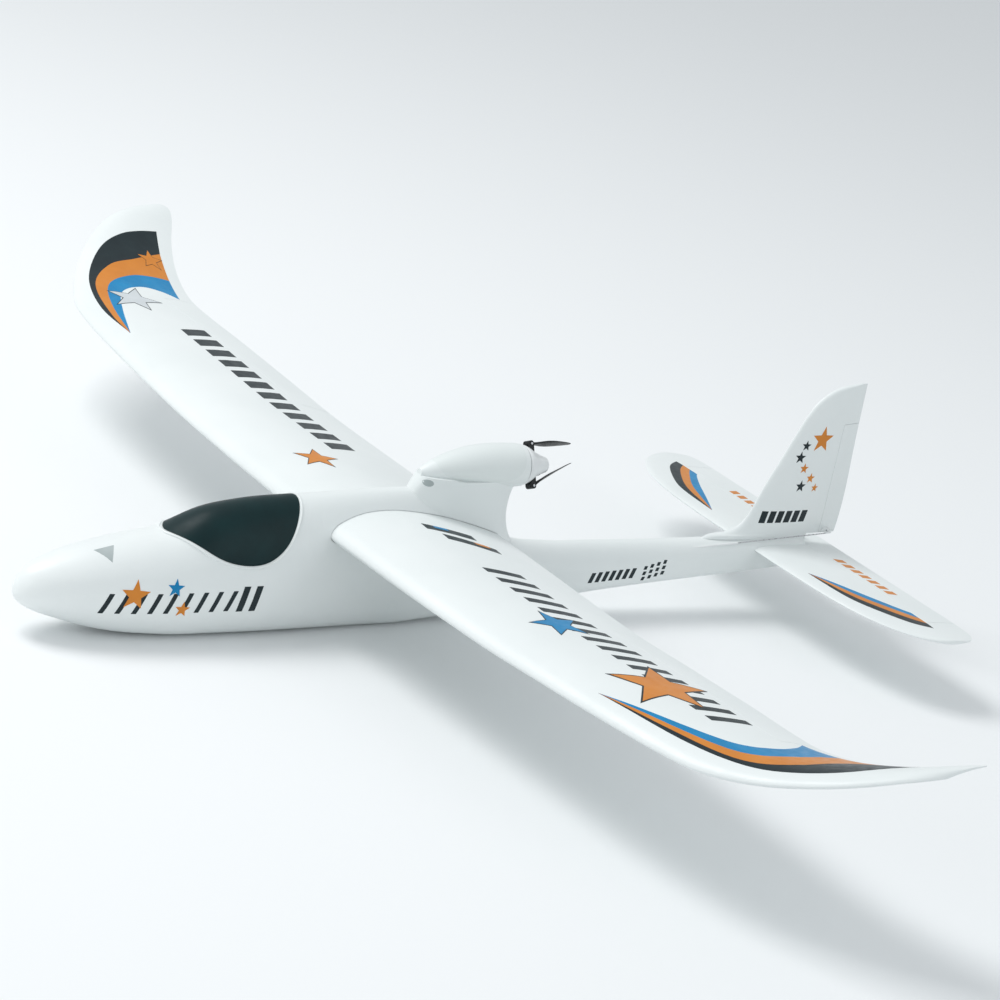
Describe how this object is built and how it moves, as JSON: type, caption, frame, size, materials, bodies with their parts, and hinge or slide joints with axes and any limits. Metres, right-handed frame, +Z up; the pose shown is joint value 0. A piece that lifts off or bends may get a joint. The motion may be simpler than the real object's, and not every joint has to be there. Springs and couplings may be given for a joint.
{
  "type": "rc glider",
  "caption": "Foam pusher-propeller model glider with upswept wing tips, moving ailerons, rudder and elevator, a lift-off canopy and folding blades.",
  "frame": {"origin": "on the ground under the balance point, on the flat of the belly", "axes": "+X towards the port wing tip, +Y towards the tail, +Z up"},
  "size_m": [1.366, 0.9747, 0.2515],
  "materials": {
    "foam": "matt closed-cell foam",
    "canopy_foam": "painted foam, satin",
    "battery_wrap": "shrink wrap, gloss",
    "strap": "woven",
    "shrink_wrap": "shrink wrap",
    "black_plastic": "moulded, satin",
    "servo_case": "moulded, gloss",
    "white_plastic": "moulded, satin",
    "steel": "drawn wire",
    "screw_steel": "blackened",
    "composite_tube": "pultruded, satin",
    "motor_metal": "anodised",
    "aluminium_plate": "machined",
    "decal_film": "printed film"
  },
  "bodies": {
    "airframe": {"fuselage_left": "foam", "fuselage_right": "foam", "boom_tube": "composite_tube", "wing_joiner_tube": "composite_tube", "canopy_latches": "black_plastic", "battery_pack": "battery_wrap", "battery_strap": "strap", "speed_controller": "shrink_wrap", "receiver": "black_plastic", "rudder_servo": "servo_case", "elevator_servo": "servo_case", "rudder_guide_tube": "white_plastic", "elevator_guide_tube": "white_plastic", "fin": "foam", "stabiliser": "foam", "motor_mount": "aluminium_plate", "motor_mount_screws": "screw_steel", "motor_stator": "motor_metal", "motor_cowl": "foam", "cowl_screws": "screw_steel"},
    "canopy": {"canopy": "canopy_foam"},
    "left_wing": {"left_wing": "foam", "left_wing_sleeve": "composite_tube", "left_aileron_servo": "servo_case"},
    "left_aileron": {"left_aileron": "foam", "left_aileron_horn": "white_plastic"},
    "left_aileron_servo_arm": {"left_aileron_servo_arm": "white_plastic"},
    "left_aileron_pushrod": {"left_aileron_pushrod": "steel"},
    "right_wing": {"right_wing": "foam", "right_wing_sleeve": "composite_tube", "right_aileron_servo": "servo_case"},
    "right_aileron": {"right_aileron": "foam", "right_aileron_horn": "white_plastic"},
    "right_aileron_servo_arm": {"right_aileron_servo_arm": "white_plastic"},
    "right_aileron_pushrod": {"right_aileron_pushrod": "steel"},
    "rudder": {"rudder": "foam", "rudder_horn": "white_plastic"},
    "elevator": {"elevator": "foam", "elevator_horn": "white_plastic"},
    "rudder_servo_arm": {"rudder_servo_arm": "white_plastic"},
    "elevator_servo_arm": {"elevator_servo_arm": "white_plastic"},
    "rudder_pushrod": {"rudder_pushrod": "steel"},
    "elevator_pushrod": {"elevator_pushrod": "steel"},
    "propeller": {"propeller_hub": "black_plastic", "spinner": "white_plastic", "rotor_bell": "motor_metal", "motor_shaft": "steel", "blade_pins": "steel"},
    "upper_blade": {"upper_blade": "black_plastic"},
    "lower_blade": {"lower_blade": "black_plastic"}
  },
  "joints": [
    {"name": "canopy_lift", "type": "slide", "parent": "airframe", "child": "canopy", "axis": [0, 0, 1], "range_m": [0, 0.08]},
    {"name": "left_wing_slide", "type": "slide", "parent": "airframe", "child": "left_wing", "axis": [1, 0, 0], "range_m": [0, 0.15]},
    {"name": "left_aileron_hinge", "type": "hinge", "parent": "left_wing", "child": "left_aileron", "pos_m": [0.27, 0.07743, 0.10599], "axis": [0.9954, -0.0636, 0.0717], "range_deg": [-20, 20]},
    {"name": "left_aileron_servo_turn", "type": "hinge", "parent": "left_wing", "child": "left_aileron_servo_arm", "pos_m": [0.30768, 0.04096, 0.10836], "axis": [0.9954, -0.0636, 0.0717], "range_deg": [-20, 20]},
    {"name": "left_aileron_pushrod_turn", "type": "hinge", "parent": "left_aileron_servo_arm", "child": "left_aileron_pushrod", "pos_m": [0.30854, 0.0409, 0.09639], "axis": [0.9954, -0.0636, 0.0717], "range_deg": [-20, 20]},
    {"name": "right_wing_slide", "type": "slide", "parent": "airframe", "child": "right_wing", "axis": [-1, 0, 0], "range_m": [0, 0.15]},
    {"name": "right_aileron_hinge", "type": "hinge", "parent": "right_wing", "child": "right_aileron", "pos_m": [-0.27, 0.07743, 0.10599], "axis": [0.9954, 0.0636, -0.0717], "range_deg": [-20, 20]},
    {"name": "right_aileron_servo_turn", "type": "hinge", "parent": "right_wing", "child": "right_aileron_servo_arm", "pos_m": [-0.30768, 0.04096, 0.10836], "axis": [0.9954, 0.0636, -0.0717], "range_deg": [-20, 20]},
    {"name": "right_aileron_pushrod_turn", "type": "hinge", "parent": "right_aileron_servo_arm", "child": "right_aileron_pushrod", "pos_m": [-0.30854, 0.0409, 0.09639], "axis": [0.9954, 0.0636, -0.0717], "range_deg": [-20, 20]},
    {"name": "rudder_hinge", "type": "hinge", "parent": "airframe", "child": "rudder", "pos_m": [0, 0.57, 0.085], "axis": [0, -0.066, 0.9978], "range_deg": [-32, 32]},
    {"name": "elevator_hinge", "type": "hinge", "parent": "airframe", "child": "elevator", "pos_m": [0, 0.553, 0.07], "axis": [1, 0, 0], "range_deg": [-22, 22]},
    {"name": "rudder_servo_turn", "type": "hinge", "parent": "airframe", "child": "rudder_servo_arm", "pos_m": [0.018, -0.031, 0.0358], "axis": [0, 0, 1], "range_deg": [-32, 32]},
    {"name": "elevator_servo_turn", "type": "hinge", "parent": "airframe", "child": "elevator_servo_arm", "pos_m": [-0.019, -0.031, 0.0358], "axis": [0, 0, 1], "range_deg": [-22, 22]},
    {"name": "rudder_pushrod_slide", "type": "slide", "parent": "airframe", "child": "rudder_pushrod", "axis": [0.0066, 0.9967, 0.0809], "range_m": [-0.00611, 0.00611]},
    {"name": "elevator_pushrod_slide", "type": "slide", "parent": "airframe", "child": "elevator_pushrod", "axis": [-0.0014, 0.9972, 0.0751], "range_m": [-0.00431, 0.00431]},
    {"name": "propeller_spin", "type": "hinge", "parent": "airframe", "child": "propeller", "pos_m": [0, 0.16, 0.16], "axis": [0, 1, 0], "continuous": true},
    {"name": "upper_blade_fold", "type": "hinge", "parent": "propeller", "child": "upper_blade", "pos_m": [-0.00962, 0.16, 0.1781], "axis": [0.8829, 0, 0.4695], "range_deg": [0, 90]},
    {"name": "lower_blade_fold", "type": "hinge", "parent": "propeller", "child": "lower_blade", "pos_m": [0.00962, 0.16, 0.1419], "axis": [-0.8829, 0, -0.4695], "range_deg": [0, 114]}
  ],
  "couplings": [
    {"joint": "left_aileron_servo_turn", "follows": "left_aileron_hinge", "ratio": 1},
    {"joint": "left_aileron_pushrod_turn", "follows": "left_aileron_hinge", "ratio": -1},
    {"joint": "right_aileron_servo_turn", "follows": "right_aileron_hinge", "ratio": 1},
    {"joint": "right_aileron_pushrod_turn", "follows": "right_aileron_hinge", "ratio": -1},
    {"joint": "rudder_servo_turn", "follows": "rudder_pushrod_slide", "rad_per_m": -85.763},
    {"joint": "rudder_hinge", "follows": "rudder_pushrod_slide", "rad_per_m": 85.763},
    {"joint": "elevator_servo_turn", "follows": "elevator_pushrod_slide", "rad_per_m": 80.906},
    {"joint": "elevator_hinge", "follows": "elevator_pushrod_slide", "rad_per_m": -80.906}
  ]
}
